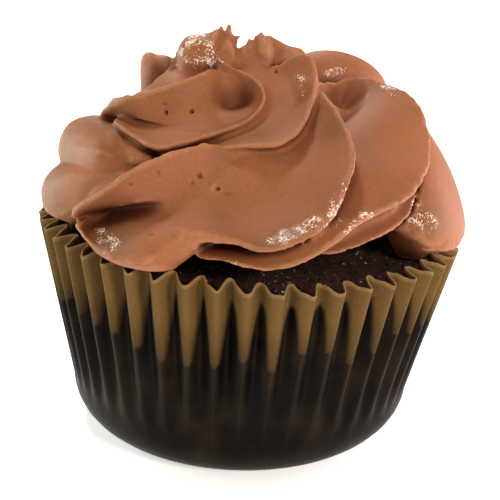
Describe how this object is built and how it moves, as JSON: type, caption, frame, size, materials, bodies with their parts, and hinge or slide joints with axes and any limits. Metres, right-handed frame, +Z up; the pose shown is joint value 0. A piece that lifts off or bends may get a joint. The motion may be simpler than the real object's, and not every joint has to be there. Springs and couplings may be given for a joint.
{
  "type": "cupcake",
  "caption": "Chocolate cupcake in a fluted greaseproof paper case, topped with a tall swirl of chocolate frosting piped through an open star tip",
  "frame": {"origin": "centre of the flat underside of the paper case, on the surface that the cupcake stands on", "axes": "+Z up; -Y towards the side seen from the front, +X to the right of it"},
  "size_m": [0.0699, 0.07, 0.0654],
  "materials": {
    "paper_case": "greaseproof baking paper, light brown where it stands off the cake and dark where butter has soaked in",
    "cake": "moist dark chocolate sponge with a fine open crumb",
    "frosting": "smooth chocolate buttercream, satin with a moist sparkle on the ridges"
  },
  "bodies": {
    "root": {"paper_case": "paper_case", "cake": "cake", "frosting": "frosting"}
  },
  "joints": []
}
